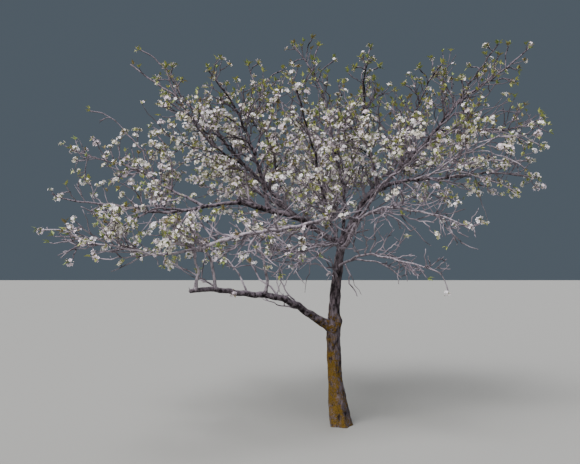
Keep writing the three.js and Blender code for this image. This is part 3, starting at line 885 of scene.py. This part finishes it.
grown_spurs = in_leaf | (drawn > 1 - ASLEEP_SHARE)
spur_shape = carried_rings(spur_lines[grown_spurs], side_of(spur_heading[grown_spurs]),
                           taper(np.array([SPUR_RADIUS]), SPUR_TIP, 2), 3)
make_piece("spurs", spur_shape, satin_bark)


# The flowers: open single cherry flowers nearly three centimetres across, five broad petals each, four
# or five to an umbel with a bud or two, on green stalks from one spur. The petals are thin, matt and
# near white, and are dealt out by umbel in white, cream and blush.

FLOWER_RADIUS = 0.0145
STALK_LENGTH = 0.025
FLOWERS = 9
BUD_SHARE = 0.2
LATE_BUDS = 0.7  # more of them on the top shoots, which open last
LATE_TOP = (2.8, 0.4)
NOD = 0.35  # how much umbels and tufts turn up to the light

umbel_centre = spur_end[in_flower]
umbel_facing = unit(spur_heading[in_flower] + NOD * UP)
umbel_key = spur_key[in_flower][:, None]


def spread(facing, angle, lean):
    """Directions that lean away from each facing, at that angle round it."""
    side = side_of(facing)
    across = turned(side[:, None], np.cross(side, facing)[:, None], angle)
    return unit(turned(facing[:, None], across, lean))


slots = np.arange(FLOWERS)[None, :]
angle = slots * GOLDEN_ANGLE + 2 * np.pi * chance(umbel_key, 41)
lean = np.radians(15 + 68 * np.sqrt((slots + 0.3) / FLOWERS)
                  + 16 * (chance(umbel_key, slots, 42) - 0.5))
facings = spread(umbel_facing, angle, lean)
fullness = chance(umbel_key, 46)
umbel_size = 0.78 + 0.34 * chance(umbel_key, 48) + 0 * slots
stalk = STALK_LENGTH * umbel_size * (0.7 + 0.6 * chance(umbel_key, slots, 43))
centres = umbel_centre[:, None] + facings * stalk[..., None]
present = chance(umbel_key, slots, 44) < 0.45 + 0.5 * fullness
late = ramp(spur_height[in_flower], *LATE_TOP)[:, None]
in_bud = chance(umbel_key, slots, 47) < BUD_SHARE + LATE_BUDS * late
opened = present & ~in_bud
budded = present & in_bud
flower_key = umbel_key * 7 + slots

# One petal as shares of the flower's radius: out, across and up, its notched rim, then its middle
PETAL = np.array(((0.04, 0.0, 0.02), (0.55, -0.34, 0.14), (0.92, -0.27, 0.25), (0.93, 0.0, 0.25),
                  (0.92, 0.27, 0.25), (0.55, 0.34, 0.14), (0.56, 0.0, 0.05)))
PETAL_FACES = np.array([(6, rim, (rim + 1) % 6) for rim in range(6)])


def round_the_axis(part, faces, copies):
    """The part turned about the flower's axis into as many copies, with its faces."""
    turn = np.arange(copies) * 2 * np.pi / copies
    x = part[None, :, 0] * np.cos(turn)[:, None] - part[None, :, 1] * np.sin(turn)[:, None]
    y = part[None, :, 0] * np.sin(turn)[:, None] + part[None, :, 1] * np.cos(turn)[:, None]
    shape = np.stack((x, y, part[None, :, 2] + 0 * x), axis=-1)
    return copied(shape, faces)


def laid(shape, faces, places, sizes, out, over, up):
    """The shape at every place: its shares times the three axes, added and scaled by the size."""
    spun = (shape[:, 0:1] * out[:, None] + shape[:, 1:2] * over[:, None] + shape[:, 2:3] * up[:, None])
    return copied(places[:, None] + sizes[:, None, None] * spun, faces)


def planted(shape, faces, centres, facings, sizes, spins, cups):
    """The shape set at every centre: scaled, cupped along its axis, spun about it and turned to face
    the given way."""
    side = side_of(facings)
    out = turned(side, np.cross(facings, side), spins)
    return laid(shape, faces, centres, sizes, out, np.cross(facings, out), facings * cups[:, None])


def thin_skin(name, colour, veins=0.002, roughness=(0.5, 0.75)):
    """Living tissue in the one colour that its spray was dealt: matt, with a faint crinkle as fine as
    its veins, which breaks up the light on it."""
    material, tree, shader = new_material(name)
    crinkle = noise(tree, place_in(tree), veins, 2)
    feed(tree, shader, {"Base Color": linear(colour), "Specular IOR Level": 0.3,
                        "Roughness": ranged(tree, crinkle, 0.3, 0.7, *roughness),
                        "Normal": bump(tree, crinkle, 0.25, 0.0006)})
    return material


open_key = flower_key[opened]
open_centres = centres[opened]
open_facings = facings[opened]
sizes = FLOWER_RADIUS * umbel_size[opened] * (0.88 + 0.26 * chance(open_key, 51))
spins = 2 * np.pi * chance(open_key, 52)
cups = 0.4 + 1.5 * chance(open_key, 53)
tint = (chance(umbel_key, 54) + 0 * slots)[opened]
left_half = open_centres[:, 0] < -0.35
petals = round_the_axis(PETAL, PETAL_FACES, 5)
white = thin_skin("white_cherry_petal", "#f4f0f2")
PETAL_LOTS = (
    ("petals_white_left", white, (tint < 0.45) & left_half),
    ("petals_white_right", white, (tint < 0.45) & ~left_half),
    ("petals_cream", thin_skin("cream_cherry_petal", "#ece6da"), (tint >= 0.45) & (tint < 0.7)),
    ("petals_blush", thin_skin("blush_cherry_petal", "#e8d9e2"), tint >= 0.7),
)
for name, skin, mine in PETAL_LOTS:
    make_piece(name, planted(*petals, open_centres[mine], open_facings[mine], sizes[mine],
                             spins[mine], cups[mine]), skin)

# One stamen as shares of the flower's radius, and one bud as a pointed drop
STAMEN = np.array(((0.0, -0.06, 0.04), (0.0, 0.06, 0.04), (0.36, 0.0, 0.45)))
stamens = round_the_axis(STAMEN, np.array(((0, 1, 2),)), 5)
anthers = thin_skin("dusty_pink_stamen", "#a98d8a")
make_piece("stamens", planted(*stamens, open_centres, open_facings, sizes, spins + 0.4, cups), anthers)

BUD = np.array(((0.24, 0, 0.1), (0, 0.24, 0.1), (-0.24, 0, 0.1), (0, -0.24, 0.1), (0, 0, -0.3),
                (0, 0, 0.55)))
BUD_FACES = np.array([(side, (side + 1) % 4, 5) for side in range(4)]
                     + [((side + 1) % 4, side, 4) for side in range(4)])
bud_key = flower_key[budded]
bud_size = FLOWER_RADIUS * (0.8 + 0.4 * chance(bud_key, 55))
buds = planted(BUD, BUD_FACES, centres[budded], facings[budded], bud_size, bud_key, 1 + 0 * bud_size)
make_piece("flower_buds", buds, thin_skin("pink_cherry_bud", "#d8c3c2"))

# One stalk as a slender pyramid: its point on the spur and its foot under the flower
STALK_RADIUS = 0.0012
STALK = np.array(((1, 0, 1), (-0.5, 0.866, 1), (-0.5, -0.866, 1), (0, 0, 0)))
STALK_FACES = np.array(((0, 1, 2), (1, 0, 3), (2, 1, 3), (0, 2, 3)))
stalk_start = np.repeat(umbel_centre, present.sum(axis=1), axis=0)
stalk_length = np.linalg.norm(centres[present] - stalk_start, axis=1)
stalks = planted(STALK, STALK_FACES, stalk_start, facings[present], STALK_RADIUS + 0 * stalk_length,
                 0 * stalk_length, stalk_length / STALK_RADIUS)
make_piece("flower_stalks", stalks, thin_skin("stalk_green", "#8d9a55"))


# The young leaves: folded, pointed and soft, three to five centimetres long, in a tuft under each
# umbel or alone on a spur. They are dealt out by spur in two greens and a bronze.

LEAVES = 5
LEAF_LENGTH = 0.047
LEAF_WIDTH = 0.46  # of its length
LEAF_SUNK = 0.003

leaf_key = spur_key[in_leaf][:, None]
leaf_facing = unit(spur_heading[in_leaf] + NOD * UP)
under_flowers = in_flower[in_leaf][:, None]
slots = np.arange(LEAVES)[None, :]
angle = slots * GOLDEN_ANGLE + 2 * np.pi * chance(leaf_key, 61)
lean = np.radians(np.where(under_flowers, 62, 34) + 34 * (chance(leaf_key, slots, 62) - 0.5))
directions = spread(leaf_facing, angle, lean)
leaf_length = LEAF_LENGTH * (0.55 + 0.7 * chance(leaf_key, slots, 63))
roots = (spur_end[in_leaf] - LEAF_SUNK * leaf_facing)[:, None] + 0 * directions
shown = chance(leaf_key, slots, 66) < np.where(under_flowers, 0.7, 0.95)

# Half a blade on each side of the rib, as shares of the length: along, across and raised
LEAF = np.array(((0.0, 0.0, 0.0), (0.45, -0.5 * LEAF_WIDTH, 0.10), (0.5, 0.0, 0.0),
                 (0.45, 0.5 * LEAF_WIDTH, 0.10), (1.0, 0.0, -0.12)))
LEAF_FACES = np.array(((0, 1, 2), (0, 2, 3), (1, 4, 2), (2, 4, 3)))


def leaves_at(roots, directions, lengths, spins):
    """The blade laid along each direction, its face turned up and spun a little about the rib."""
    across = side_of(directions)
    tilted = turned(across, np.cross(across, directions), spins)
    return laid(LEAF, LEAF_FACES, roots, lengths, directions, tilted, np.cross(directions, tilted))


leaf_tint = (chance(leaf_key, 64) + 0 * leaf_length)[shown]
leaf_spin = (0.9 * (chance(leaf_key, slots, 65) - 0.5))[shown]
LEAF_LOTS = (
    ("leaves_yellow_green", "yellow_green_leaf", "#9aa058", leaf_tint < 0.5),
    ("leaves_fresh_green", "fresh_green_leaf", "#78864a", (leaf_tint >= 0.5) & (leaf_tint < 0.8)),
    ("leaves_bronze", "bronze_young_leaf", "#7d7248", leaf_tint >= 0.8),
)
for name, skin, colour, mine in LEAF_LOTS:
    blades = leaves_at(roots[shown][mine], directions[shown][mine], leaf_length[shown][mine],
                       leaf_spin[mine])
    make_piece(name, blades, thin_skin(skin, colour, 0.004, (0.35, 0.6)), smooth=False)


# The stage: a plain pale floor, a soft grey surround and three wide soft suns, like the even light of
# an overcast sky. The camera stands six metres in front of the trunk at eye height and looks slightly
# up.

CAMERA_TILT = 1.74
CAMERA_LENS = 40

bpy.ops.mesh.primitive_plane_add(size=60, location=(0, 0, 0))
floor = bpy.context.object
floor.name = "floor"
floor_finish, floor_tree, floor_shader = new_material("pale_floor")
feed(floor_tree, floor_shader, {"Base Color": linear("#93928c"), "Roughness": 0.9})
floor.data.materials.append(floor_finish)

world = bpy.data.worlds.new("soft_surround")
bpy.context.scene.world = world
world.use_nodes = True
feed(world.node_tree, world.node_tree.nodes["Background"],
     {"Color": linear("#626e79"), "Strength": 0.7})


def soft_sun(name, elevation, azimuth, spread, strength, colour):
    """A sun lamp with a wide disc, which lights the whole floor evenly and casts soft shadows. Its
    azimuth is counted from the camera's side towards the left."""
    light = bpy.data.lights.new(name, "SUN")
    light.angle = math.radians(spread)
    light.energy = strength
    light.color = linear(colour)[:3]
    lamp = put_in_scene(name, light)
    lamp.rotation_euler = (math.radians(90 - elevation), 0, math.radians(-azimuth))


soft_sun("overcast_sky", 58, 32, 32, 5.4, "#f8f8ff")
soft_sun("front_glow", 28, 35, 60, 1.8, "#fff8ef")
soft_sun("back_glow", 35, 205, 60, 0.9, "#f4f6ff")

camera_data = bpy.data.cameras.new("photo_view")
camera_data.lens = CAMERA_LENS
camera_data.sensor_width = 36
camera = put_in_scene("photo_view", camera_data)
camera.location = VIEWPOINT
camera.rotation_euler = (math.radians(90 + CAMERA_TILT), 0, 0)
bpy.context.scene.camera = camera
